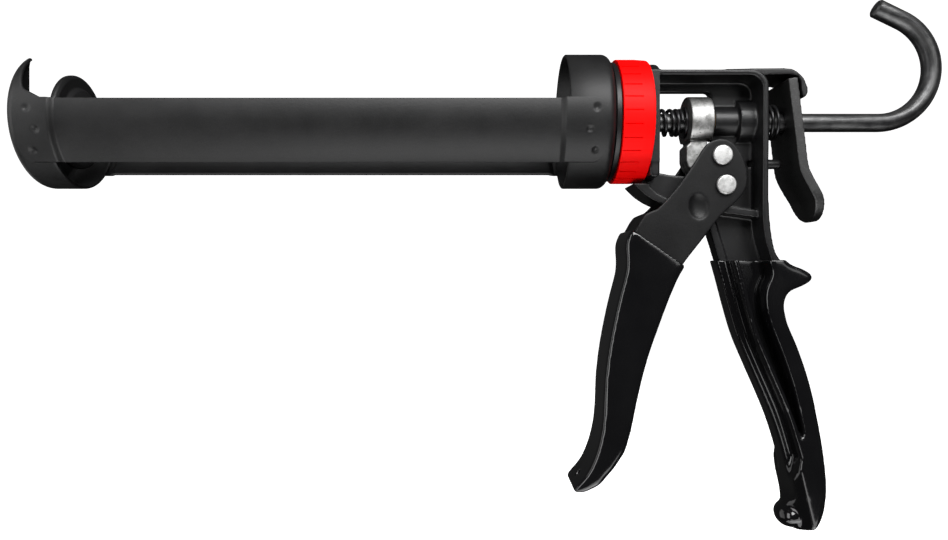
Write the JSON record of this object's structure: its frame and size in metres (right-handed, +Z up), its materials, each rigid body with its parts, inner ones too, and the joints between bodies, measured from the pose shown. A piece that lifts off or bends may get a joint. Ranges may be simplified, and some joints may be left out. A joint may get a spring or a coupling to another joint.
{
  "type": "caulking gun",
  "caption": "Cartridge caulking gun with an open turning cradle, red collar, hooked push rod, thumb release lever and a long trigger on a dipped pistol handle.",
  "frame": {"origin": "on the barrel axis at the front face of the frame's head", "axes": "+X along the barrel axis to the rear, +Z up, +Y to the tool's right-hand side when seen from behind"},
  "size_m": [0.3889, 0.0602, 0.229],
  "materials": {
    "black_casting": "satin black powder coat on a die casting",
    "black_powder": "fine matte black powder coat",
    "black_vinyl": "thick glossy black vinyl dip",
    "red_collar": "bright red moulded plastic",
    "zinc": "bright zinc-plated steel",
    "dark_steel": "dark oiled steel",
    "bronze": "sintered bronze"
  },
  "bodies": {
    "frame": {"handle_frame": "black_casting", "handle_grip": "black_vinyl", "head_spindle": "dark_steel", "spindle_washer": "zinc", "front_rod_bush": "bronze", "rear_rod_bush": "bronze", "pivot_bush": "bronze", "stop_pin": "black_casting", "return_spring": "dark_steel", "release_spring": "dark_steel"},
    "cradle": {"front_cup": "black_powder", "rear_cup": "black_powder", "left_strap": "black_powder", "right_strap": "black_powder", "thrust_washer": "black_casting", "grip_collar": "red_collar", "wave_washer": "zinc"},
    "trigger": {"trigger": "black_powder", "trigger_grip": "black_vinyl", "pivot_pin": "zinc", "drive_pin": "zinc", "drive_sleeve": "dark_steel"},
    "driver": {"drive_block": "zinc", "spring_seat": "dark_steel"},
    "release": {"release_lever": "black_powder"},
    "plunger": {"plunger_disc": "black_powder", "plunger_hub": "black_powder", "plunger_nut": "zinc"},
    "rod": {"push_rod": "dark_steel"}
  },
  "joints": [
    {"name": "cradle_turn", "type": "hinge", "parent": "frame", "child": "cradle", "pos_m": [0, 0, 0], "axis": [1, 0, 0], "continuous": true},
    {"name": "trigger_pull", "type": "hinge", "parent": "frame", "child": "trigger", "pos_m": [0.0322, 0, -0.0283], "axis": [0, -1, 0], "range_deg": [0, 26], "stiffness_Nm_per_rad": 0.8, "springref_deg": -28.65, "deforming": ["return_spring"]},
    {"name": "driver_slide", "type": "slide", "parent": "frame", "child": "driver", "axis": [-1, 0, 0], "range_m": [0, 0.0057], "deforming": ["return_spring"]},
    {"name": "release_press", "type": "hinge", "parent": "frame", "child": "release", "pos_m": [0.0601, 0, 0.0164], "axis": [0, 1, 0], "range_deg": [0, 2], "stiffness_Nm_per_rad": 2, "springref_deg": -5.73, "deforming": ["release_spring"]},
    {"name": "rod_slide", "type": "slide", "parent": "frame", "child": "plunger", "axis": [1, 0, 0], "range_m": [-0.006, 0.21]},
    {"name": "rod_turn", "type": "hinge", "parent": "plunger", "child": "rod", "pos_m": [-0.239, 0, 0], "axis": [1, 0, 0], "continuous": true}
  ],
  "couplings": [
    {"joint": "driver_slide", "follows": "trigger_pull", "m_per_rad": 0.0122}
  ]
}
